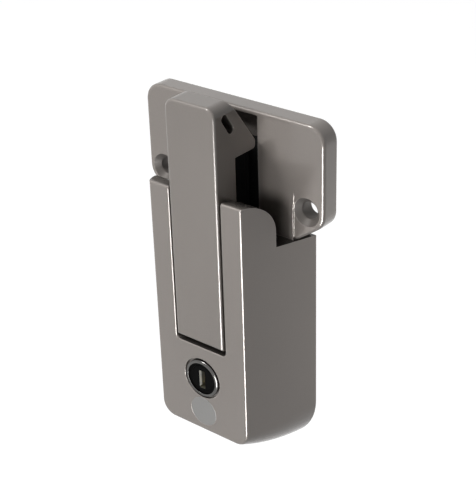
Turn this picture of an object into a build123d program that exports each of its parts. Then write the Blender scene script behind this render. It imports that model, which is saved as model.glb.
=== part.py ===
from build123d import *
import os
from math import cos, radians, sin, sqrt, tan

# Lockable catch for the security bar of a sliding door, in millimetres.
# X runs across the door, -Y points into the room and +Z is up.
# The origin is on the door's face, midway between the two mounting screws.

# Security bar that drops into the catch
bar_thickness = 6.0
bar_height = 25.0
bar_play = 0.4
bar_lift_play = 0.7

# Mounting plate, with an ear at each side
plate_width = 65.6
plate_thickness = 6.0
plate_top = 26.7
plate_corner = 5.5
plate_edge = 1.0
screw_spacing = 53.6
screw_hole = 5.4
countersink = 8.8
ear_slope = 35.0
pad_width = 44.6
pad_rise = 0.4
pad_slope = 7.0

# Housing below the plate, which widens towards the door
depth = 23.6
front_width = 34.0
back_width = 51.7
block_top = 4.9
block_round = 9.6
saddle_floor = -9.95
foot_front = -76.2
foot_drop = 9.5
foot_bow = 0.5
front_corner = 4.5
back_corner = 17.7
front_edge = 0.8
wall = 2.3
web = 2.1

# Hook lever
lever_width = 18.1
lever_top = 32.7
lever_proud = 0.4
stem_gap = 2.7
lever_edge = 0.9
head_corner = 3.2
barb_gap = 0.4
barb_lip = 2.5
barb_round = 1.2
barb_crown = 7.1
lever_wall = 2.2
slot_length = 7.0
slot_width = 2.45
slot_lean = 33.0
slot_from_crown = 1.5
slot_from_top = 5.9
swing = 15.0

# Channel and finger recess that the lever lies in
channel_gap = 0.55
foot_gap = 1.9
channel_edge = 0.5
channel_corner = 1.4
cheek = 2.1
recess_width = 18.4
recess_edge = 0.8
recess_depth = 4.0
recess_rim = 1.3
recess_slope = 1.5

# Pivot
pivot_drop = 9.95
pin_radius = 1.75
running = 0.05
fixed = 0.02
bush_wall = 0.85
bush_flange = 1.0
flange_play = 0.1
boss_width = 1.3
clip_play = 0.1
pin_end = 0.9
pin_chamfer = 0.3
clip_thickness = 0.6
clip_width = 0.9
clip_gap = 0.3
groove_depth = 0.35

# Return spring and bumper
spring_wire = 0.8
spring_seat = 0.1
spring_room = 1.3
spring_headroom = 0.2
spring_turns = 5.5
spring_pitch = 1.3
spring_leg = 8.5
spring_pocket = 6.0
rest_gap = 0.3
rest_step = 1.2
leg_gap = 0.05
bumper_width = 9.0
bumper_height = 4.4
bumper_gap = 0.15
bumper_stud = 1.5
bumper_wall = 2.0
bumper_drop = 0.3
bumper_corner = 0.5
stud_end = 0.6

# Heel of the lever, which the lock cam stops
heel_width = 8.0
heel_height = 5.6
tongue_thickness = 1.6
tongue_length = 4.0
tongue_play = 0.3
tongue_room = 1.2
barb_thickness = 4.0

# Cylinder lock
lock_rise = 19.0
lever_from_lock = 13.0
barrel_radius = 5.9
barrel_length = 13.3
barrel_flat = 5.3
face_recess = 0.1
face_radius = 5.35
plug_radius = 4.0
plug_lip = 0.35
plug_lip_depth = 1.1
plug_edge = 0.3
keyway_corner = 0.4
key_width = 2.0
key_height = 5.0
keyway_width = 2.2
keyway_height = 6.2
keyway_drop = 0.5
bezel_radius = 6.3
bezel_proud = 0.4
bezel_depth = 1.0
bezel_gap = 0.65
bezel_round = 0.6
lock_wall = 2.0
clip_room = 2.2
barrel_clip_thickness = 0.8
barrel_clip_width = 1.1
barrel_groove_depth = 0.9
wafer_count = 4
wafer_first = 2.9
wafer_pitch = 1.9
wafer_thickness = 0.9
wafer_width = 3.4
wafer_height = 7.2
wafer_play = 0.05
wafer_room = 0.3
wafer_spring_wire = 0.25
wafer_spring_radius = 0.55
wafer_spring_turns = 4
wafer_spring_play = 0.08
cam_thickness = 1.5
cam_reach = 12.6
cam_width = 6.0
cam_hub = 4.0
cam_gap = 0.2
tail_radius = 2.4
tail_flats = 3.8
washer_thickness = 0.4
washer_lip = 0.5
cam_screw_radius = 1.45
cam_screw_head = 2.7
cam_screw_length = 4.4
cam_screw_height = 1.8
stop_radius = 1.2
stop_gap = 0.25
stop_sink = 0.6

# Blank disc below the lock
disc_radius = 4.95
disc_thickness = 0.8
disc_gap = 0.3
disc_proud = 0.05

# Lining of the recess
liner_thickness = 2.5
liner_top = 17.0
liner_gap = 0.2
stud_radius = 1.5
stud_inset = 5.0
stud_from_end = 4.0
stud_recess = 0.3
liner_corner = 0.6
rib_width = 1.2
rib_height = 0.5

# Back cover
cover_thickness = 1.2
cover_lip = 1.0
cover_gap = 0.15
cover_seat = 0.05
cover_corner = 1.5
cover_screw = 1.25
cover_head = 2.3
cover_thread = 7.0
cross_width = 0.6
cross_depth = 0.9
cross_share = 0.56
post_radius = 2.9
post_x = 15.4
post_drop = 3.75
post_foot_x = 13.6
post_rise = 6.0

# Places that follow from the sizes above
front = -depth
plate_front = -plate_thickness
pad_front = plate_front - pad_rise
saddle_front = pad_front - bar_thickness - bar_play
web_z = saddle_floor - web
ear_radius = (plate_width - screw_spacing) / 2
lock_z = foot_front + lock_rise
disc_z = lock_z - bezel_radius - bezel_gap - disc_gap - disc_radius
lever_foot = lock_z + lever_from_lock
lever_front = front - lever_proud
lever_floor = lever_front + lever_wall
lever_half = lever_width / 2
channel_half = lever_half + channel_gap
pocket_half = lever_half - lever_wall
stem_back = saddle_front - stem_gap
barb_under = saddle_floor + bar_height + bar_lift_play
crown_y = lever_front + barb_crown
slot_y = crown_y - slot_from_crown
slot_z = lever_top - slot_from_top
recess_half = recess_width / 2
recess_floor = plate_front + recess_depth
recess_top = plate_top - recess_rim
coil_reach = (saddle_front - spring_room - lever_floor - spring_seat) / 2
spring_radius = coil_reach - spring_wire / 2
pivot_y = lever_floor + spring_seat + coil_reach
pivot_z = web_z - pivot_drop
barrel_back = front + barrel_length
heel_back = barrel_back + cam_gap - tongue_play
tail_back = barrel_back + cam_gap + cam_thickness
lock_boss_back = barrel_back - clip_room
clip_x = channel_half + cheek + clip_play
far = 200.0


def prism_y(sketch, back, face):
    """Sketch in X and Z, carried along Y from back to face, the side nearer the room."""
    return extrude(Plane.XZ.offset(-back) * sketch, back - face)


def prism_x(sketch, left, right):
    """Sketch in Y and Z, carried along X."""
    return extrude(Plane.YZ.offset(left) * sketch, right - left)


def rod_y(x, z, radius, back, face):
    return prism_y(Pos(x, z) * Circle(radius), back, face)


def rod_x(y, z, radius, left, right):
    return prism_x(Pos(y, z) * Circle(radius), left, right)


def block(x0, x1, y0, y1, z0, z1):
    middle = Pos((x0 + x1) / 2, (y0 + y1) / 2, (z0 + z1) / 2)
    return middle * Box(x1 - x0, y1 - y0, z1 - z0)


def cone_y(x, z, wide, narrow, y_wide, y_narrow):
    """Cone along Y, wide at y_wide and narrow at y_narrow."""
    ends = [
        Plane.XZ.offset(-y_wide) * Pos(x, z) * Circle(wide),
        Plane.XZ.offset(-y_narrow) * Pos(x, z) * Circle(narrow),
    ]
    return loft(ends)


def round_some(solid, edges, radius):
    return fillet(edges, radius) if len(edges) else solid


def at_y(solid, y):
    return solid.edges().filter_by_position(Axis.Y, y - 0.01, y + 0.01)


def section_sizes(y, inset):
    """Half width, foot height and corner radius of the housing at depth y."""
    share = (y - front) / depth
    half = (front_width + share * (back_width - front_width)) / 2
    foot = foot_front - foot_drop * (share + foot_bow * share * (1 - share))
    corner = front_corner + share * (back_corner - front_corner)
    return half - inset, foot + inset, max(corner - inset, 0.6)


def section(y, inset, top):
    """Cross-section of the housing at depth y, rounded at its two lower corners."""
    half, foot, corner = section_sizes(y, inset)
    heel = foot + corner
    outline = Polyline((-half, heel), (-half, top), (half, top), (half, heel))
    outline += RadiusArc((half, heel), (half - corner, foot), corner)
    outline += Line((half - corner, foot), (corner - half, foot))
    outline += RadiusArc((corner - half, foot), (-half, heel), corner)
    return Plane.XZ.offset(-y) * make_face(outline)


def tapered_body(face, inset, top, back=0.0):
    """Housing, or its cavity, as one smooth form from face to back."""
    places = [face, (face + back) / 2, back]
    return loft([section(y, inset, top) for y in places])


def side_profile():
    """Housing seen from the side: front blocks, rounded behind, then the saddle."""
    low = foot_front - foot_drop - far
    top = block_top
    centre = (saddle_front - block_round, top - block_round)
    outline = Polyline((saddle_front, centre[1]), (saddle_front, saddle_floor), (0, saddle_floor), (0, low))
    outline += Polyline((0, low), (front, low), (front, top), (centre[0], top))
    outline += RadiusArc((centre[0], top), (saddle_front, centre[1]), block_round)
    return prism_x(make_face(outline), -far, far)


def block_core(x0, x1):
    """Hollow inside a front block, a wall's thickness within its sides."""
    back, face, low, radius = saddle_front - wall, front + wall, web_z - 0.1, block_round - wall
    centre = (back - radius, block_top - wall - radius)
    peak = centre[1] + sqrt(radius ** 2 - (face - centre[0]) ** 2)
    outline = Polyline((back, centre[1]), (back, low), (face, low), (face, peak))
    outline += RadiusArc((face, peak), (back, centre[1]), radius)
    return prism_x(make_face(outline), x0, x1)


def plate_outline():
    """Plate seen from the front: rounded above, and an ear round each screw below."""
    half = plate_width / 2
    screw = screw_spacing / 2
    lean = radians(90 - ear_slope)
    end = (screw + ear_radius * cos(lean), -ear_radius * sin(lean))
    run = (end[1] - saddle_floor) / tan(radians(ear_slope))
    low = (end[0] - run, saddle_floor)
    right = Line((0, plate_top), (half - plate_corner, plate_top))
    right += RadiusArc((half - plate_corner, plate_top), (half, plate_top - plate_corner), plate_corner)
    right += Line((half, plate_top - plate_corner), (screw + ear_radius, 0))
    right += RadiusArc((screw + ear_radius, 0), end, ear_radius)
    right += Polyline(end, low, (0, saddle_floor))
    left = mirror(right, about=Plane.YZ)
    return make_face(right.edges() + left.edges())


def screw_places():
    return [(side * screw_spacing / 2, 0) for side in (-1, 1)]


def post_places():
    high, low = (post_x, web_z - post_drop), (post_foot_x, foot_front + post_rise)
    return [(side * x, z) for side in (-1, 1) for x, z in (high, low)]


def channel_outline(half, low, high):
    """Lever channel seen from the front, rounded at its lower corners."""
    outline = Pos(0, (low + high) / 2) * Rectangle(2 * half, high - low)
    corners = outline.vertices().group_by(Axis.Y)[0]
    return fillet(corners, channel_corner)


def recess():
    """Finger recess in the plate behind the lever, its upper end sloping out."""
    outline = Polyline(
        (recess_floor, saddle_floor),
        (recess_floor, recess_top - recess_slope),
        (plate_front, recess_top),
        (pad_front - 1, recess_top),
        (pad_front - 1, saddle_floor),
        close=True,
    )
    return prism_x(make_face(outline), -far, far) & recess_plan()


def recess_plan():
    """Recess seen from above, with a rounded lip at each side of its mouth."""
    inner, outer = recess_half, recess_half + recess_edge
    arc_y = plate_front + recess_edge
    middle = recess_edge * (1 - sqrt(0.5))
    right = Polyline((0, 0), (inner, 0), (inner, arc_y))
    right += ThreePointArc((inner, arc_y), (inner + middle, plate_front + middle), (outer, plate_front))
    right += Polyline((outer, plate_front), (outer, pad_front - 1), (0, pad_front - 1))
    left = mirror(right, about=Plane.YZ)
    return extrude(Plane.XY.offset(-far) * make_face(right.edges() + left.edges()), 2 * far)


def bar_pad():
    """Pad on the plate behind the bar, which fades into the plate at its upper end."""
    outline = Polyline(
        (plate_front + 1, block_top),
        (plate_front, block_top),
        (pad_front, block_top - pad_slope),
        (pad_front, saddle_floor - 1),
        (plate_front + 1, saddle_floor - 1),
        close=True,
    )
    return prism_x(make_face(outline), -pad_width / 2, pad_width / 2)


def make_case():
    channel = prism_y(channel_outline(channel_half, lever_foot - foot_gap, far), saddle_front, front - 1)
    body = tapered_body(front, 0, block_top + 1) & side_profile()
    body = round_some(body, at_y(body, front), front_edge) - channel
    rim = at_y(body, front).filter_by_position(Axis.X, -channel_half - 0.01, channel_half + 0.01)
    rim = rim.filter_by_position(Axis.Z, lever_foot - foot_gap - 0.01, block_top - front_edge)
    body = round_some(body, rim, channel_edge)
    plate = prism_y(plate_outline(), 0, plate_front)
    plate = round_some(plate, at_y(plate, plate_front), plate_edge)
    cavity = tapered_body(front + wall, wall, web_z)
    below_saddle = block(-far, far, front, 1, foot_front - far, web_z)
    case = body + plate + bar_pad() - (cavity & below_saddle)

    lock_room = rod_y(0, lock_z, barrel_radius + lock_wall, lock_boss_back, front + wall / 2)
    for x, z in cam_stop_places():
        lock_room += rod_y(x, z, stop_radius, tail_back, front + wall / 2)
    posts = [rod_y(x, z, post_radius, -cover_thickness, front + wall / 2) for x, z in post_places()]
    cheeks = block(-channel_half - cheek, channel_half + cheek, front + wall / 2, saddle_front,
                   lever_foot - foot_gap - cheek, saddle_floor)
    inside = tapered_body(front, wall / 2, block_top + 1)
    rest = spring_rest()
    shelf_low = web_z - bumper_height - 2 * bumper_drop
    bumper_shelf = block(-channel_half - 1, channel_half + 1, saddle_front, saddle_front + bumper_wall,
                         shelf_low, web_z)
    case += (lock_room + cheeks + posts) & inside

    behind = block(-channel_half, channel_half, saddle_front - 0.1, -cover_thickness,
                   lever_foot - tongue_length - tongue_room, web_z)
    case -= channel
    case -= behind - lock_room
    case += rest + bumper_shelf
    case -= recess()
    case -= block_cores()

    case -= rod_x(pivot_y, pivot_z, pin_radius + fixed, -channel_half - cheek - 1, channel_half + cheek + 1)
    for side in (-1, 1):
        room = sorted((side * (clip_x - clip_play), side * (clip_x + clip_thickness + pin_end + clip_gap)))
        case -= rod_x(pivot_y, pivot_z, pin_radius + clip_width + clip_gap, *room)
    case -= rod_y(0, bumper_z(), bumper_stud + fixed, saddle_front + bumper_wall + 1, saddle_front - 1)
    case -= prism_y(Pos(0, lock_z) * barrel_shape(barrel_radius + fixed), 0, front - 1)
    case -= rod_y(0, lock_z, bezel_radius + bezel_gap, front + bezel_depth, front - 1)
    case -= rod_y(0, disc_z, disc_radius + fixed, front + disc_thickness, front - 1)
    for x, z in screw_places():
        case -= rod_y(x, z, screw_hole / 2, 1, plate_front - 1)
        case -= cone_y(x, z, countersink / 2 + 0.5, screw_hole / 2,
                       plate_front - 0.5, plate_front + (countersink - screw_hole) / 2)
    rebate = cover_outline(cover_gap)
    case -= prism_y(rebate, 1, -cover_thickness - cover_seat)
    for x, z in post_places():
        case -= rod_y(x, z, cover_screw + fixed, 0, -cover_thickness - cover_thread - 1)
    for x in (-1, 1):
        for z in stud_heights():
            case -= rod_y(x * stud_inset, z, stud_radius + fixed, 1, recess_floor - 1)
    return case


def cam_stop_places():
    """Posts that the lock cam's finger meets at each end of its quarter turn."""
    off = cam_width / 2 + stop_radius + stop_gap
    along = sqrt((barrel_radius + lock_wall) ** 2 - off ** 2) + stop_sink
    return [(off, lock_z + along), (-along, lock_z - off)]


def spring_rest():
    """Rib across the channel behind the stem, with a step that the spring's fixed leg rests on.

    The rib is also the stop that the stem's back meets when the lever is fully open.
    """
    rib_z = pivot_z - spring_leg
    reach = spring_leg + web
    offset = stem_back - pivot_y
    face = pivot_y + offset * cos(radians(swing)) + reach * sin(radians(swing)) + rest_gap
    rib = block(-channel_half - cheek, channel_half + cheek, face, face + web, rib_z - web, rib_z + web)
    step_face = pivot_y + coil_reach + leg_gap
    step_half = spring_pitch * spring_turns / 2 + rest_step
    step = block(-step_half, step_half, step_face, face + 1, rib_z - rest_step, rib_z + rest_step)
    for side in (-1, 1):
        x0, x1 = sorted((side * channel_half, side * (channel_half + cheek)))
        rib += block(x0, x1, saddle_front - 1, face + web, rib_z - web, rib_z + web)
    return rib + step


def block_cores():
    """Hollows inside the two front blocks, open to the cavity below."""
    inner = channel_half + cheek
    outer = front_width / 2 - wall
    return [block_core(*sorted((side * inner, side * outer))) for side in (-1, 1)]


def bumper_z():
    return web_z - bumper_drop - bumper_height / 2


def barrel_shape(radius):
    """Barrel seen from the front: round with a flat on each side, so it can't turn."""
    return Circle(radius) & Rectangle(2 * (barrel_flat + radius - barrel_radius), 4 * radius)


def stud_heights():
    return [saddle_floor + stud_from_end, liner_top - stud_from_end]


def cover_outline(grow):
    """Back cover seen from behind: the cavity's mouth and a lip all round."""
    half, foot, corner = section_sizes(0, wall - cover_lip - grow)
    top = web_z + cover_lip + grow
    shape = Pos(0, (foot + top) / 2) * Rectangle(2 * half, top - foot)
    low = shape.vertices().group_by(Axis.Y)[0]
    shape = fillet(low, corner)
    high = shape.vertices().group_by(Axis.Y)[-1]
    return fillet(high, cover_corner + grow)


def make_back_cover():
    cover = prism_y(cover_outline(0), 0, -cover_thickness)
    for x, z in post_places():
        cover -= cone_y(x, z, cover_head + fixed, cover_screw + fixed, 0, -cover_thickness)
        cover -= rod_y(x, z, cover_screw + fixed, 1, -cover_thickness - 1)
    return cover


def cross_shape(head):
    """Cross recess of a screw whose head has this radius."""
    length = 2 * head * cross_share
    return Rectangle(length, cross_width) + Rectangle(cross_width, length)


def make_cover_screws():
    screws = []
    for x, z in post_places():
        screw = cone_y(x, z, cover_head - cover_seat, cover_screw, -cover_seat, -cover_thickness)
        screw += rod_y(x, z, cover_screw, -cover_thickness, -cover_thickness - cover_thread)
        screws.append(screw - prism_y(Pos(x, z) * cross_shape(cover_head), 1, -cross_depth))
    return Compound(children=screws)


def barb_profile():
    """Lever seen from the side: stem, level crown, ramp and barb."""
    tip_y = plate_front - barb_gap
    points = [
        (lever_front, lever_foot),
        (lever_front, lever_top),
        (crown_y, lever_top),
        (tip_y, barb_under + barb_lip),
        (tip_y, barb_under),
        (stem_back, barb_under),
        (stem_back, lever_foot),
    ]
    shape = make_face(Polyline(*points, close=True))
    tips = shape.vertices().group_by(Axis.X)[-1]
    return fillet(tips, barb_round)


def lever_outline():
    """Lever seen from the front, rounded at its upper corners."""
    outline = Pos(0, (lever_foot + lever_top) / 2) * Rectangle(lever_width, lever_top - lever_foot)
    corners = outline.vertices().group_by(Axis.Y)[-1]
    return fillet(corners, head_corner)


def heel_profile():
    """Heel behind the stem and the tongue that hangs from it."""
    low = lever_foot - tongue_length
    heel_top = lever_foot + heel_height
    front_of_tongue = heel_back - tongue_thickness
    points = [
        (stem_back - 1, heel_top),
        (stem_back, heel_top),
        (heel_back, heel_top - (heel_back - stem_back) / 2),
        (heel_back, low),
        (front_of_tongue, low),
        (front_of_tongue, lever_foot),
        (stem_back - 1, lever_foot),
    ]
    return make_face(Polyline(*points, close=True))


def lever_pockets():
    """Hollows in the back of the stem: one for the spring and one for weight."""
    lower = block(-pocket_half, pocket_half, lever_floor, saddle_front,
                  pivot_z - spring_leg - spring_pocket, pivot_z + coil_reach + spring_headroom)
    upper = block(-pocket_half, pocket_half, lever_floor, saddle_front,
                  web_z + bumper_height, barb_under - barb_thickness)
    return lower + upper


def lever_bore():
    return pin_radius + running + bush_wall + fixed


def make_lever():
    lever = prism_x(barb_profile(), -lever_half, lever_half) & prism_y(lever_outline(), 0, lever_front - 1)
    lever = round_some(lever, at_y(lever, lever_front), lever_edge)
    lever += prism_x(heel_profile(), -heel_width / 2, heel_width / 2)
    lever += rod_x(pivot_y, pivot_z, lever_bore() + boss_width, -lever_half, lever_half)
    lever -= lever_pockets()
    slot = Pos(slot_y, slot_z) * Rot(0, 0, 90 + slot_lean) * SlotOverall(slot_length, slot_width)
    lever -= prism_x(slot, -far, far)
    lever -= rod_x(pivot_y, pivot_z, lever_bore(), -far, far)
    return lever


def make_pivot_bushes():
    bore = pin_radius + running
    bushes = []
    for side in (-1, 1):
        ends = sorted((side * pocket_half, side * lever_half))
        flange = sorted((side * lever_half, side * (channel_half - flange_play)))
        bush = rod_x(pivot_y, pivot_z, bore + bush_wall, *ends)
        bush += rod_x(pivot_y, pivot_z, bore + bush_wall + bush_flange, *flange)
        bushes.append(bush - rod_x(pivot_y, pivot_z, bore, -far, far))
    return Compound(children=bushes)


def make_pivot_pin():
    end = clip_x + clip_thickness + pin_end
    pin = rod_x(pivot_y, pivot_z, pin_radius, -end, end)
    pin = chamfer(pin.edges().group_by(Axis.X)[0] + pin.edges().group_by(Axis.X)[-1], pin_chamfer)
    for side in (-1, 1):
        groove = sorted((side * clip_x, side * (clip_x + clip_thickness)))
        ring = rod_x(pivot_y, pivot_z, pin_radius + 1, *groove)
        pin -= ring - rod_x(pivot_y, pivot_z, pin_radius - groove_depth, *groove)
    return pin


def make_pin_clips():
    clips = []
    inner = pin_radius - groove_depth + fixed
    outer = pin_radius + clip_width
    ring = Circle(outer) - Circle(inner) - Pos(0, -outer / 2) * Rectangle(1.6 * inner, outer)
    for side in (-1, 1):
        ends = sorted((side * (clip_x + fixed), side * (clip_x + clip_thickness - fixed)))
        clips.append(prism_x(Pos(pivot_y, pivot_z) * ring, *ends))
    return Compound(children=clips)


def make_lever_spring():
    """Torsion spring round the pin: its front leg presses the lever, its back leg the case."""
    height = spring_turns * spring_pitch
    coil = Helix(pitch=spring_pitch, height=height, radius=spring_radius)
    start, end = coil @ 0, coil @ 1
    first = Line(start - Vector(0, spring_leg, 0), start)
    last = Line(end, end - Vector(0, spring_leg, 0))
    path = Wire([first, coil, last])
    wire = sweep(Plane(origin=path @ 0, z_dir=path % 0) * Circle(spring_wire / 2), path=path)
    return Plane(origin=(-height / 2, pivot_y, pivot_z), x_dir=(0, 1, 0), z_dir=(1, 0, 0)) * wire


def make_lever_bumper():
    """Rubber pad that the closing lever meets, held by a stud through the case's shelf."""
    face = stem_back + bumper_gap
    low, high = bumper_z() - bumper_height / 2, bumper_z() + bumper_height / 2
    pad = block(-bumper_width / 2, bumper_width / 2, face, saddle_front, low, high)
    pad = fillet(at_y(pad, face), bumper_corner)
    return pad + rod_y(0, bumper_z(), bumper_stud, saddle_front + bumper_wall + stud_end, saddle_front)


def make_bezel_ring():
    """Bright ring round the lock, crowned towards the room."""
    outer, inner = bezel_radius, face_radius
    back, face = front + bezel_depth, front - bezel_proud
    ring = rod_y(0, lock_z, outer, back, face) - rod_y(0, lock_z, inner, back + 1, face - 1)
    edges = at_y(ring, face).group_by(SortBy.RADIUS)[-1]
    return fillet(edges, (outer - inner) * bezel_round)


def make_lock_barrel():
    face = front + face_recess
    barrel = prism_y(Pos(0, lock_z) * barrel_shape(barrel_radius), barrel_back, front + bezel_depth)
    barrel += rod_y(0, lock_z, face_radius - fixed, front + bezel_depth, face)
    barrel -= rod_y(0, lock_z, plug_radius + running, 0, front - 1)
    barrel -= rod_y(0, lock_z, plug_radius + plug_lip + running, face + plug_lip_depth, front - 1)
    room_height = wafer_height + 2 * wafer_room + wafer_spring_wire
    room = Pos(0, lock_z) * Rectangle(wafer_width + wafer_room, room_height)
    barrel -= prism_y(room, wafer_places()[-1] + wafer_thickness + wafer_room, wafer_places()[0] - wafer_room)
    groove = rod_y(0, lock_z, barrel_radius + 1, *barrel_groove())
    return barrel - (groove - rod_y(0, lock_z, barrel_radius - barrel_groove_depth, *barrel_groove()))


def barrel_groove():
    """Back and front of the groove for the barrel clip, just behind the case's boss."""
    return lock_boss_back + barrel_clip_thickness + 2 * running, lock_boss_back + running


def make_barrel_clip():
    back, face = barrel_groove()
    inner, outer = barrel_radius - barrel_groove_depth + fixed, barrel_radius + barrel_clip_width
    shape = Circle(outer) - Circle(inner) - Pos(0, outer / 2) * Rectangle(1.75 * inner, outer)
    return prism_y(Pos(0, lock_z) * shape, back - fixed, face + fixed)


def wafer_places():
    return [front + wafer_first + place * wafer_pitch for place in range(wafer_count)]


def make_lock_plug():
    face = front + face_recess - 2 * running
    plug = rod_y(0, lock_z, plug_radius, barrel_back + running, face)
    plug += rod_y(0, lock_z, plug_radius + plug_lip, front + face_recess + plug_lip_depth - running, face)
    plug = fillet(at_y(plug, face), plug_edge)
    tail = Circle(tail_radius) & Rectangle(2 * tail_radius, tail_flats)
    plug += prism_y(Pos(0, lock_z) * tail, tail_back - running, barrel_back)
    keyway = Pos(0, lock_z - keyway_drop) * RectangleRounded(keyway_width, keyway_height, keyway_corner)
    plug -= prism_y(keyway, wafer_places()[-1] + wafer_thickness + wafer_room, front - 1)
    for y in wafer_places():
        slot = Pos(0, lock_z) * Rectangle(wafer_width + 2 * wafer_play, 2 * plug_radius + 1)
        plug -= prism_y(slot, y + wafer_thickness + wafer_play, y - wafer_play)
        bore = wafer_spring_radius + wafer_spring_wire / 2 + wafer_spring_play
        half = wafer_spring_height() / 2 + wafer_spring_play
        plug -= rod_z(spring_x(), y + wafer_thickness / 2, bore, lock_z - half, lock_z + half)
    plug -= rod_y(0, lock_z, cam_screw_radius + fixed, 0, tail_back - cam_screw_length - wafer_room)
    return plug


def spring_x():
    return wafer_width / 2 + wafer_spring_radius + wafer_spring_wire / 2 + 2 * wafer_spring_play


def wafer_spring_height():
    return wafer_height / 2 - wafer_room


def rod_z(x, y, radius, low, high):
    return Pos(x, y, (low + high) / 2) * Cylinder(radius, high - low)


def make_wafers():
    wafers = []
    for y in wafer_places():
        shape = Rectangle(wafer_width, wafer_height) - Rectangle(key_width, key_height)
        wafers.append(prism_y(Pos(0, lock_z) * shape, y + wafer_thickness, y))
    return Compound(children=wafers)


def make_wafer_springs():
    springs = []
    height = wafer_spring_height() - wafer_spring_wire
    for y in wafer_places():
        coil = Helix(pitch=height / wafer_spring_turns, height=height, radius=wafer_spring_radius)
        section = Plane(origin=coil @ 0, z_dir=coil % 0) * Circle(wafer_spring_wire / 2)
        wire = sweep(section, path=Wire([coil]))
        springs.append(Pos(spring_x(), y + wafer_thickness / 2, lock_z - height / 2) * wire)
    return Compound(children=springs)


def make_lock_cam():
    """Flat cam on the plug's tail: its finger points left when unlocked and up when locked."""
    shape = Circle(cam_hub) + Pos(-cam_reach / 2, 0) * Rectangle(cam_reach, cam_width)
    tips = shape.vertices().group_by(Axis.X)[0]
    shape = fillet(tips, cam_width * 0.2)
    tail = Circle(tail_radius + fixed) & Rectangle(3 * tail_radius, tail_flats + 2 * fixed)
    return prism_y(Pos(0, lock_z) * (shape - tail), tail_back, barrel_back + cam_gap)


def make_cam_washer():
    ring = Circle(cam_screw_head + washer_lip) - Circle(cam_screw_radius + running)
    return prism_y(Pos(0, lock_z) * ring, tail_back + fixed + washer_thickness, tail_back + fixed)


def make_cam_screw():
    seat = tail_back + 2 * fixed + washer_thickness
    top = seat + cam_screw_height
    screw = rod_y(0, lock_z, cam_screw_head, top, seat)
    screw = fillet(at_y(screw, top), cam_screw_height / 3)
    screw += rod_y(0, lock_z, cam_screw_radius, seat, tail_back - cam_screw_length)
    return screw - prism_y(Pos(0, lock_z) * cross_shape(cam_screw_head), top + 1, top - cross_depth)


def make_badge_disc():
    face = front - disc_proud
    disc = rod_y(0, disc_z, disc_radius, front + disc_thickness, face)
    return chamfer(at_y(disc, face), disc_proud)


def make_bar_liner():
    """Black lining behind the bar, with two ribs and four studs through the plate."""
    half = recess_half - liner_gap
    low = saddle_floor + liner_gap
    face = recess_floor - liner_thickness
    liner = block(-half, half, face, recess_floor, low, liner_top)
    liner = fillet(at_y(liner, face), liner_corner)
    for side in (-1, 1):
        rib = side * half / 2
        liner += block(rib - rib_width / 2, rib + rib_width / 2, face - rib_height, face + 1,
                       low + 1, liner_top - 1)
        for z in stud_heights():
            liner += rod_y(side * stud_inset, z, stud_radius, -stud_recess, recess_floor)
    return liner


os.makedirs("parts", exist_ok=True)
export_step(make_case(), "parts/case.step")
export_step(make_back_cover(), "parts/back_cover.step")
export_step(make_cover_screws(), "parts/cover_screws.step")
export_step(make_bar_liner(), "parts/bar_liner.step")
export_step(make_pivot_pin(), "parts/pivot_pin.step")
export_step(make_pin_clips(), "parts/pin_clips.step")
export_step(make_lever_bumper(), "parts/lever_bumper.step")
export_step(make_bezel_ring(), "parts/bezel_ring.step")
export_step(make_lock_barrel(), "parts/lock_barrel.step")
export_step(make_barrel_clip(), "parts/barrel_clip.step")
export_step(make_badge_disc(), "parts/badge_disc.step")
export_step(make_lever(), "parts/lever.step")
export_step(make_pivot_bushes(), "parts/pivot_bushes.step")
export_step(make_lever_spring(), "parts/lever_spring.step")
export_step(make_lock_plug(), "parts/lock_plug.step")
export_step(make_wafers(), "parts/wafers.step")
export_step(make_wafer_springs(), "parts/wafer_springs.step")
export_step(make_lock_cam(), "parts/lock_cam.step")
export_step(make_cam_washer(), "parts/cam_washer.step")
export_step(make_cam_screw(), "parts/cam_screw.step")
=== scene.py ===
from math import cos, radians, sin

import bpy
from mathutils import Matrix, Vector


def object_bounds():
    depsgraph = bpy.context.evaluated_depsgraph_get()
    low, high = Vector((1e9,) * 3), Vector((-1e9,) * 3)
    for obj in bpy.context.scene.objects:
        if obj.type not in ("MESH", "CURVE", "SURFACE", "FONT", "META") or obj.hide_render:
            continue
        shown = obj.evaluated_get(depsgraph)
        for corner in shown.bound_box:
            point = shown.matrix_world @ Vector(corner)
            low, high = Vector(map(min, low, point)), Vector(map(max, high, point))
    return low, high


# Looks of the security bar catch: satin paint, plated bezel, black lock face and a studio floor.
# Sizes are in metres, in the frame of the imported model: X right, -Y towards the room, Z up.

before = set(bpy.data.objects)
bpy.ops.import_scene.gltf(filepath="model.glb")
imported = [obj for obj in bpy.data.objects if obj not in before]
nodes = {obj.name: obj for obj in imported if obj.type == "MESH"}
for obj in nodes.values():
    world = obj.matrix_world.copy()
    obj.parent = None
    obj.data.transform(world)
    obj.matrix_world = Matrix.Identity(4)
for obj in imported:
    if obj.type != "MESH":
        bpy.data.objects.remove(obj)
cad_low, cad_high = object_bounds()
MM = 0.001

# Camera, as worked out from the photograph's edges
CAMERA_PLACE = Vector((218.93, -268.37, 161.52)) * MM
CAMERA_AIM = Vector((6.80, -12.75, -15.29)) * MM
CAMERA_ROLL = -1.80
CAMERA_LENS = 97.02
SENSOR_WIDTH = 36.0

# Paint colours, written in linear light, and tones as shares of them
WARM_GREY = (0.262, 0.236, 0.216)
DISC_GREY = (0.254, 0.250, 0.243)
CLOUD_TONES = (0.95, 1.04)
FLECK_TONE = 1.08
FLECK_SHARE = 0.35
# Pale edges: rubbed paint, lightened further as a painted highlight
WEAR_AND_HIGHLIGHT_TONE = 1.7
# Painted shade on level ledges in corners
LEDGE_SHADE_TONE = 0.08
# Painted shade in hollows and tight corners
HOLLOW_SHADE_TONE = 0.38
HOLLOW_SHADE_SHARE = 0.96

# Grain of the paint, in features per metre
CLOUD_GRAIN = 22
MOTTLE_GRAIN = 320
PEEL_GRAIN = 1400
FLECK_GRAIN = 2600

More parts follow.
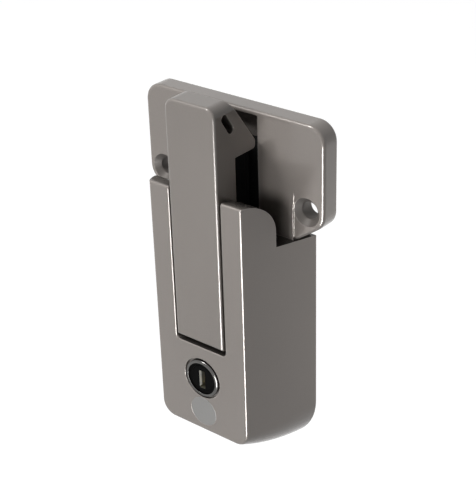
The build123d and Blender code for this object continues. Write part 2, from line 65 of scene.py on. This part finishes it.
# Surface of the paint; its roughness stays below 0.27, where the denoiser changes its guide
# and a spread across it would show as pale specks
PAINT_ROUGHNESS = 0.25
ROUGHNESS_SPREAD = 0.02
PAINT_SPECULAR = 0.3
COAT_WEIGHT = 0.35
COAT_ROUGHNESS = 0.10
PEEL_STRENGTH = 0.10
PEEL_DEPTH = 0.02 * MM
PAINT_ROUNDING = 0.35 * MM
WEAR_AND_HIGHLIGHT_WIDTH = 0.5 * MM
WORN_SAMPLES = 6
# Reach of the occlusion that sets the painted shade in hollows
HOLLOW_SHADE_REACH = 16 * MM

# Painted shade on level ledges that stand in a corner: how level a face is, and how open the
# corner that it stands in
LEDGE_SHADE_REACH = 25 * MM
LEDGE_SHADE_LEVEL = (0.80, 0.95)
LEDGE_SHADE_OPEN = (0.55, 0.90)

# Cosine between a face and its bevelled normal, from a worn edge to a flat
EDGE_BENT = 0.90
EDGE_FLAT = 0.995

# Lever and disc: the same paint, duller and with less metal, or with fewer pale edges of wear and
# painted highlight
LEVER_TONE = 0.94
LEVER_ROUGHNESS = 0.34
LEVER_METAL = 0.09
DISC_ROUGHNESS = 0.42
DISC_WEAR_AND_HIGHLIGHT = 0.10

# Bare and plated metal
STREAK_GRAIN = 600
STREAK_STRENGTH = 0.12
STREAK_DEPTH = 0.01 * MM
METAL_CLOUD_GRAIN = 120
METAL_TONES = (0.9, 1.06)
METAL_ROUNDING = 0.12 * MM

# Moulded plastic, rubber and lacquer
MOULD_CLOUD_GRAIN = 150
MOULD_TONES = (0.85, 1.15)
MOULD_WORN_TONE = 2.2
MOULD_WORN_SHARE = 0.35
MOULD_WORN_WIDTH = 0.3 * MM
MOULD_SPREAD = 0.06
MOULD_STRENGTH = 0.25
MOULD_ROUNDING = 0.2 * MM

# Countersunk screw holes of the plate: duller paint inside, darkened as painted shade
HOLE_ASIDE = 26.8 * MM
CONE_REACH = 4.6 * MM
CONE_SHADE_TONE = 0.45
CONE_ROUGHNESS = 0.5
FACING_FRONT = -0.95

# Keyway of the lock plug: bare metal darkened as painted shade deeper in, with a painted highlight
# near its mouth
KEYWAY_METAL_IN_SHADE = (0.165, 0.165, 0.138)
KEYWAY_HIGHLIGHT = (0.95, 0.94, 0.90)
KEYWAY_HALF = 1.16 * MM
KEYWAY_FROM = -23.55 * MM
KEYWAY_HIGHLIGHT_TO = -22.6 * MM
KEYWAY_LOW = -60.9 * MM
KEYWAY_HIGHLIGHT_LOW = -60.4 * MM
KEYWAY_HIGH = -54.5 * MM

# Lamps: the way to each from the object's middle, then its distance, size and power
MIDDLE = Vector((0, -0.012, -0.025))
FAR = 1.2
KEY_WAY = Vector((-0.355, -0.474, 0.806))
KEY_SIZE = 0.32
KEY_POWER = 10.2
FILL_WAY = Vector((-0.08, -0.98, 0.16))
FILL_SIZE = 0.4
FILL_POWER = 5.9
STRIP_WAY = Vector((0.330, -0.819, -0.469))
STRIP_DISTANCE = 0.24
STRIP_WIDTH = 0.10
STRIP_HEIGHT = 0.14
STRIP_POWER = 1.35
SIDE_PLACE = Vector((0.060, 0.050, -0.036))
SIDE_AIM = Vector((0.022, -0.002, -0.030))
SIDE_WIDTH = 0.03
SIDE_HEIGHT = 0.08
SIDE_POWER = 0.042

# Floor and background
FLOOR_SIZE = 6.0
FLOOR_GAP = 0.12
FLOOR_GREY = 0.16
FLOOR_GLOW = 0.96
FLOOR_ROUGHNESS = 0.9
WORLD_LIGHT = 0.04


def socket(node, name, value):
    node.inputs[name].default_value = value


def new_material(name):
    """Empty material with a principled shader joined to its output."""
    material = bpy.data.materials.new(name)
    material.use_nodes = True
    tree = material.node_tree
    tree.nodes.clear()
    output = tree.nodes.new("ShaderNodeOutputMaterial")
    shader = tree.nodes.new("ShaderNodeBsdfPrincipled")
    tree.links.new(shader.outputs["BSDF"], output.inputs["Surface"])
    return material, tree, shader


def noise(tree, scale, detail, roughness=0.5, stretch=(1, 1, 1)):
    """Noise in the object's own metres; scale counts features per metre."""
    place = tree.nodes.new("ShaderNodeTexCoord")
    mapping = tree.nodes.new("ShaderNodeMapping")
    socket(mapping, "Scale", stretch)
    texture = tree.nodes.new("ShaderNodeTexNoise")
    socket(texture, "Scale", scale)
    socket(texture, "Detail", detail)
    socket(texture, "Roughness", roughness)
    tree.links.new(place.outputs["Object"], mapping.inputs["Vector"])
    tree.links.new(mapping.outputs["Vector"], texture.inputs["Vector"])
    return texture.outputs["Fac"]


def spread(tree, value, low, high, from_low=0.3, from_high=0.7):
    """Maps a range onto low to high; noise lies mostly between 0.3 and 0.7."""
    node = tree.nodes.new("ShaderNodeMapRange")
    socket(node, "From Min", from_low)
    socket(node, "From Max", from_high)
    socket(node, "To Min", low)
    socket(node, "To Max", high)
    tree.links.new(value, node.inputs["Value"])
    return node.outputs["Result"]


def between(tree, share, low, high):
    """Maps a share from 0 to 1 onto low to high."""
    return spread(tree, share, low, high, 0, 1)


def maths(tree, operation, first, second=0):
    """Result of a math node; the second value is a number or a socket."""
    node = tree.nodes.new("ShaderNodeMath")
    node.operation = operation
    tree.links.new(first, node.inputs[0])
    if isinstance(second, bpy.types.NodeSocket):
        tree.links.new(second, node.inputs[1])
    else:
        socket(node, 1, second)
    return node.outputs["Value"]


def product(tree, first, second):
    return maths(tree, "MULTIPLY", first, second)


def split_vector(tree, vector):
    split = tree.nodes.new("ShaderNodeSeparateXYZ")
    tree.links.new(vector, split.inputs["Vector"])
    return split.outputs["X"], split.outputs["Y"], split.outputs["Z"]


def object_place(tree):
    """X, Y and Z in the object's own metres."""
    return split_vector(tree, tree.nodes.new("ShaderNodeTexCoord").outputs["Object"])


def face_normal(tree):
    """X, Y and Z of the mesh face's own normal."""
    return split_vector(tree, tree.nodes.new("ShaderNodeNewGeometry").outputs["True Normal"])


def principled(material):
    return next(node for node in material.node_tree.nodes if node.type == "BSDF_PRINCIPLED")


def blend_colours(tree, share, first, second):
    """Mixes two colours, each given as a colour or a socket, by a share from 0 to 1."""
    node = tree.nodes.new("ShaderNodeMix")
    node.data_type = "RGBA"
    for name, colour in (("A", first), ("B", second)):
        target = next(i for i in node.inputs if i.name == name and i.type == "RGBA")
        if isinstance(colour, bpy.types.NodeSocket):
            tree.links.new(colour, target)
        else:
            target.default_value = (*colour, 1)
    tree.links.new(share, node.inputs["Factor"])
    return next(o for o in node.outputs if o.type == "RGBA")


def shade(colour, factor):
    return tuple(channel * factor for channel in colour)


def rounded_normal(tree, radius, samples=8):
    bevel = tree.nodes.new("ShaderNodeBevel")
    bevel.samples = samples
    socket(bevel, "Radius", radius)
    return bevel.outputs["Normal"]


def edge_share(tree, radius):
    """1 at sharp and rounded edges and 0 on flats, from a bevelled normal."""
    geometry = tree.nodes.new("ShaderNodeNewGeometry")
    cosine = tree.nodes.new("ShaderNodeVectorMath")
    cosine.operation = "DOT_PRODUCT"
    tree.links.new(rounded_normal(tree, radius, WORN_SAMPLES), cosine.inputs[0])
    tree.links.new(geometry.outputs["Normal"], cosine.inputs[1])
    return spread(tree, cosine.outputs["Value"], 1, 0, EDGE_BENT, EDGE_FLAT)


def painted_hollow_shade(tree, reach, low=0.06, high=0.45):
    """1 in tight hollows and 0 on open faces, from ambient occlusion; it drives painted shade."""
    occlusion = tree.nodes.new("ShaderNodeAmbientOcclusion")
    occlusion.samples = 8
    socket(occlusion, "Distance", reach)
    return spread(tree, occlusion.outputs["AO"], 1, 0, low, high)


def painted_ledge_shade(tree, reach):
    """1 on level ledges that stand in a corner and 0 elsewhere; it drives painted shade."""
    up = face_normal(tree)[2]
    level = spread(tree, up, 0, 1, *LEDGE_SHADE_LEVEL)
    return product(tree, level, painted_hollow_shade(tree, reach, *LEDGE_SHADE_OPEN))


def bump(tree, height, strength, distance, normal):
    node = tree.nodes.new("ShaderNodeBump")
    socket(node, "Strength", strength)
    socket(node, "Distance", distance)
    tree.links.new(height, node.inputs["Height"])
    tree.links.new(normal, node.inputs["Normal"])
    return node.outputs["Normal"]


def satin_paint(name, colour, roughness=PAINT_ROUGHNESS, metallic=0.18, wear_and_highlight=0.55):
    """Satin metallic paint on a casting: faint mottling, fine orange peel, pale edges of rubbed
    paint and painted highlight, and painted shade on ledges and in hollows.
    """
    material, tree, shader = new_material(name)
    cloud = spread(tree, noise(tree, CLOUD_GRAIN, 2), 0, 1)
    fleck = spread(tree, noise(tree, FLECK_GRAIN, 2), 0, FLECK_SHARE)
    worn = between(tree, edge_share(tree, WEAR_AND_HIGHLIGHT_WIDTH), 0, wear_and_highlight)
    hollow_shade = between(tree, painted_hollow_shade(tree, HOLLOW_SHADE_REACH), 0, HOLLOW_SHADE_SHARE)
    tone = blend_colours(tree, cloud, shade(colour, CLOUD_TONES[0]), shade(colour, CLOUD_TONES[1]))
    tone = blend_colours(tree, fleck, tone, shade(colour, FLECK_TONE))
    # Pale edges: partly rubbed paint, partly painted highlight
    tone = blend_colours(tree, worn, tone, shade(colour, WEAR_AND_HIGHLIGHT_TONE))
    # Painted shade on level ledges in corners
    tone = blend_colours(tree, painted_ledge_shade(tree, LEDGE_SHADE_REACH), tone, shade(colour, LEDGE_SHADE_TONE))
    # Painted shade in hollows
    tone = blend_colours(tree, hollow_shade, tone, shade(colour, HOLLOW_SHADE_TONE))
    tree.links.new(tone, shader.inputs["Base Color"])
    mottle = noise(tree, MOTTLE_GRAIN, 3)
    satin = spread(tree, mottle, roughness - ROUGHNESS_SPREAD, roughness + ROUGHNESS_SPREAD)
    tree.links.new(satin, shader.inputs["Roughness"])
    peel = noise(tree, PEEL_GRAIN, 3)
    normal = bump(tree, peel, PEEL_STRENGTH, PEEL_DEPTH, rounded_normal(tree, PAINT_ROUNDING))
    tree.links.new(normal, shader.inputs["Normal"])
    socket(shader, "Metallic", metallic)
    socket(shader, "Specular IOR Level", PAINT_SPECULAR)
    socket(shader, "Coat Weight", COAT_WEIGHT)
    socket(shader, "Coat Roughness", COAT_ROUGHNESS)
    return material


def plated_metal(name, colour, roughness, grain=(1, 1, 1), streak=0.06):
    """Bare or plated metal with drawn streaks and a faint cloudiness."""
    material, tree, shader = new_material(name)
    streaks = noise(tree, STREAK_GRAIN, 4, 0.6, grain)
    cloud = spread(tree, noise(tree, METAL_CLOUD_GRAIN, 3), 0, 1)
    tone = blend_colours(tree, cloud, shade(colour, METAL_TONES[0]), shade(colour, METAL_TONES[1]))
    tree.links.new(tone, shader.inputs["Base Color"])
    drawn = spread(tree, streaks, roughness - streak, roughness + streak)
    tree.links.new(drawn, shader.inputs["Roughness"])
    rounded = rounded_normal(tree, METAL_ROUNDING)
    normal = bump(tree, streaks, STREAK_STRENGTH, STREAK_DEPTH, rounded)
    tree.links.new(normal, shader.inputs["Normal"])
    socket(shader, "Metallic", 1.0)
    return material


def moulded(name, colour, roughness, grain=2500, depth=0.02, shine=0.5):
    """Moulded plastic, rubber or black lacquer, with a fine grain and paler edges."""
    material, tree, shader = new_material(name)
    cloud = spread(tree, noise(tree, MOULD_CLOUD_GRAIN, 3), 0, 1)
    worn = between(tree, edge_share(tree, MOULD_WORN_WIDTH), 0, MOULD_WORN_SHARE)
    tone = blend_colours(tree, cloud, shade(colour, MOULD_TONES[0]), shade(colour, MOULD_TONES[1]))
    tone = blend_colours(tree, worn, tone, shade(colour, MOULD_WORN_TONE))
    tree.links.new(tone, shader.inputs["Base Color"])
    fine = noise(tree, grain, 3)
    dull = spread(tree, fine, roughness - MOULD_SPREAD, roughness + MOULD_SPREAD)
    tree.links.new(dull, shader.inputs["Roughness"])
    rounded = rounded_normal(tree, MOULD_ROUNDING)
    normal = bump(tree, fine, MOULD_STRENGTH, depth * MM, rounded)
    tree.links.new(normal, shader.inputs["Normal"])
    socket(shader, "Specular IOR Level", shine)
    return material


def show_keyway(material):
    """Bare metal on the walls of the plug's keyway, darkened as painted shade, with a painted
    highlight near its mouth.
    """
    tree = material.node_tree
    shader = principled(material)
    x, y, z = object_place(tree)
    inside = maths(tree, "LESS_THAN", maths(tree, "ABSOLUTE", x), KEYWAY_HALF)
    behind = maths(tree, "GREATER_THAN", y, KEYWAY_FROM)
    above = maths(tree, "GREATER_THAN", z, KEYWAY_LOW)
    below = maths(tree, "LESS_THAN", z, KEYWAY_HIGH)
    walls = product(tree, product(tree, inside, behind), product(tree, above, below))
    lit_mouth = maths(tree, "LESS_THAN", y, KEYWAY_HIGHLIGHT_TO)
    upright = maths(tree, "GREATER_THAN", z, KEYWAY_HIGHLIGHT_LOW)
    # Painted highlight near the keyway's mouth; painted shade deeper in
    metal = blend_colours(tree, product(tree, lit_mouth, upright), KEYWAY_METAL_IN_SHADE, KEYWAY_HIGHLIGHT)
    black = shader.inputs["Base Color"].links[0].from_socket
    tree.links.new(blend_colours(tree, walls, black, metal), shader.inputs["Base Color"])
    tree.links.new(walls, shader.inputs["Metallic"])


def dull_and_shade_screw_holes(material):
    """Dull paint inside the countersinks, darkened as painted shade."""
    tree = material.node_tree
    shader = principled(material)
    x, _, z = object_place(tree)
    aside = maths(tree, "SUBTRACT", maths(tree, "ABSOLUTE", x), HOLE_ASIDE)
    squares = maths(tree, "ADD", product(tree, aside, aside), product(tree, z, z))
    near = maths(tree, "LESS_THAN", squares, CONE_REACH ** 2)
    sloped = maths(tree, "GREATER_THAN", face_normal(tree)[1], FACING_FRONT)
    share = product(tree, near, sloped)
    tree.links.new(between(tree, share, COAT_WEIGHT, 0), shader.inputs["Coat Weight"])
    satin = shader.inputs["Roughness"].links[0].from_socket
    duller = maths(tree, "MAXIMUM", satin, between(tree, share, 0, CONE_ROUGHNESS))
    tree.links.new(duller, shader.inputs["Roughness"])
    paint = shader.inputs["Base Color"].links[0].from_socket
    # Painted shade: darker paint colour inside the countersinks
    shaded_cone = blend_colours(tree, share, paint, shade(WARM_GREY, CONE_SHADE_TONE))
    tree.links.new(shaded_cone, shader.inputs["Base Color"])


def dress(node, material):
    """Gives a CAD node one material on all its faces."""
    mesh = nodes[node].data
    mesh.materials.clear()
    mesh.materials.append(material)


def dress_all():
    housing = satin_paint("satin_paint", WARM_GREY)
    dull_and_shade_screw_holes(housing)
    hook = satin_paint("lever_paint", shade(WARM_GREY, LEVER_TONE), LEVER_ROUGHNESS, LEVER_METAL)
    disc = satin_paint("disc_metal", DISC_GREY, DISC_ROUGHNESS, wear_and_highlight=DISC_WEAR_AND_HIGHLIGHT)
    zinc = plated_metal("cover_steel", (0.34, 0.34, 0.33), 0.33, (1, 1, 12))
    steel = plated_metal("pin_steel", (0.56, 0.55, 0.54), 0.25, (12, 1, 1))
    screw = plated_metal("screw_steel", (0.50, 0.49, 0.47), 0.30)
    blued = plated_metal("clip_steel", (0.16, 0.16, 0.18), 0.35)
    wire = plated_metal("spring_steel", (0.45, 0.45, 0.44), 0.28)
    brass = plated_metal("wafer_brass", (0.62, 0.45, 0.18), 0.32)
    chrome = plated_metal("bezel_chrome", (0.115, 0.112, 0.108), 0.16, streak=0.04)
    lock_face = moulded("lock_black", (0.003, 0.003, 0.003), 0.5, shine=0.02)
    plug_face = moulded("plug_black", (0.003, 0.003, 0.003), 0.5, shine=0.02)
    show_keyway(plug_face)
    liner = moulded("black_liner", (0.003, 0.003, 0.003), 0.7, shine=0.1)
    rubber = moulded("bumper_rubber", (0.02, 0.02, 0.02), 0.75, 1800, 0.04)
    acetal = moulded("bush_plastic", (0.62, 0.60, 0.55), 0.4)
    finishes = {
        "case": housing, "lever": hook, "badge_disc": disc,
        "back_cover": zinc, "cover_screws": screw, "cam_screw": screw,
        "pivot_pin": steel, "pin_clips": blued, "barrel_clip": blued,
        "lever_spring": wire, "wafer_springs": wire, "wafers": brass,
        "lock_cam": zinc, "cam_washer": zinc, "bezel_ring": chrome,
        "lock_barrel": lock_face, "lock_plug": plug_face,
        "bar_liner": liner, "lever_bumper": rubber, "pivot_bushes": acetal,
    }
    for node, material in finishes.items():
        dress(node, material)


def smooth_nodes():
    """Shades curved CAD faces smoothly by their own vertex normals, without moving a vertex."""
    for node in nodes.values():
        for polygon in node.data.polygons:
            polygon.use_smooth = True


def place_camera():
    """Camera at the photograph's angle, rolled about its own line of sight."""
    data = bpy.data.cameras.new("camera")
    data.lens = CAMERA_LENS
    data.sensor_width = SENSOR_WIDTH
    data.sensor_fit = "HORIZONTAL"
    data.clip_start = 0.01
    data.clip_end = 50
    camera = bpy.data.objects.new("camera", data)
    bpy.context.scene.collection.objects.link(camera)
    back = (CAMERA_PLACE - CAMERA_AIM).normalized()
    right = Vector((0, 0, 1)).cross(back).normalized()
    up = back.cross(right)
    turn = radians(CAMERA_ROLL)
    rolled_right = right * cos(turn) + up * sin(turn)
    rolled_up = up * cos(turn) - right * sin(turn)
    axes = Matrix((rolled_right, rolled_up, back)).transposed()
    camera.matrix_world = Matrix.Translation(CAMERA_PLACE) @ axes.to_4x4()
    bpy.context.scene.camera = camera


def area_light(name, place, aim, width, height, power):
    data = bpy.data.lights.new(name, "AREA")
    data.shape = "RECTANGLE"
    data.size = width
    data.size_y = height
    data.energy = power
    light = bpy.data.objects.new(name, data)
    bpy.context.scene.collection.objects.link(light)
    turn = (place - aim).to_track_quat("Z", "Y").to_matrix().to_4x4()
    light.matrix_world = Matrix.Translation(place) @ turn
    return light


def light_studio():
    """Soft key, front fill, a low lamp for bright edges and one behind the right side."""
    key_place = MIDDLE + KEY_WAY * FAR
    area_light("key", key_place, MIDDLE, KEY_SIZE, KEY_SIZE, KEY_POWER)
    fill_place = MIDDLE + FILL_WAY * FAR
    fill = area_light("front_fill", fill_place, MIDDLE, FILL_SIZE, FILL_SIZE, FILL_POWER)
    fill.visible_glossy = False
    low_place = MIDDLE + STRIP_WAY * STRIP_DISTANCE
    strip = area_light("edge_strip", low_place, MIDDLE, STRIP_WIDTH, STRIP_HEIGHT, STRIP_POWER)
    strip.visible_diffuse = False
    side = area_light("side_lamp", SIDE_PLACE, SIDE_AIM, SIDE_WIDTH, SIDE_HEIGHT, SIDE_POWER)
    side.visible_camera = False
    side.visible_glossy = False


def seen_rays(tree):
    """1 for camera, glossy and transmission rays and 0 for the rest."""
    path = tree.nodes.new("ShaderNodeLightPath")
    seen = maths(tree, "MAXIMUM", path.outputs["Is Camera Ray"], path.outputs["Is Glossy Ray"])
    return maths(tree, "MAXIMUM", seen, path.outputs["Is Transmission Ray"])


def make_world():
    """White background, which lights the object only a little."""
    world = bpy.data.worlds.new("studio")
    world.use_nodes = True
    bpy.context.scene.world = world
    tree = world.node_tree
    tree.nodes.clear()
    output = tree.nodes.new("ShaderNodeOutputWorld")
    background = tree.nodes.new("ShaderNodeBackground")
    socket(background, "Color", (1, 1, 1, 1))
    strength = between(tree, seen_rays(tree), WORLD_LIGHT, 1.0)
    tree.links.new(strength, background.inputs["Strength"])
    tree.links.new(background.outputs["Background"], output.inputs["Surface"])


def make_floor():
    """Floor below the object, which takes its shadow and is white to the camera elsewhere."""
    height = cad_low[2] - FLOOR_GAP
    half = FLOOR_SIZE / 2
    mesh = bpy.data.meshes.new("floor")
    ends = ((-half, -half), (half, -half), (half, half), (-half, half))
    corners = [(x, y, height) for x, y in ends]
    mesh.from_pydata(corners, [], [(0, 1, 2, 3)])
    floor = bpy.data.objects.new("floor", mesh)
    bpy.context.scene.collection.objects.link(floor)
    material, tree, shader = new_material("floor_white")
    socket(shader, "Base Color", (FLOOR_GREY, FLOOR_GREY, FLOOR_GREY, 1))
    socket(shader, "Roughness", FLOOR_ROUGHNESS)
    socket(shader, "Specular IOR Level", 0.0)
    socket(shader, "Emission Color", (1, 1, 1, 1))
    glow = between(tree, seen_rays(tree), 0, FLOOR_GLOW)
    tree.links.new(glow, shader.inputs["Emission Strength"])
    mesh.materials.append(material)


dress_all()
smooth_nodes()
place_camera()
light_studio()
make_world()
make_floor()

scene = bpy.context.scene
scene.view_settings.view_transform = "Standard"
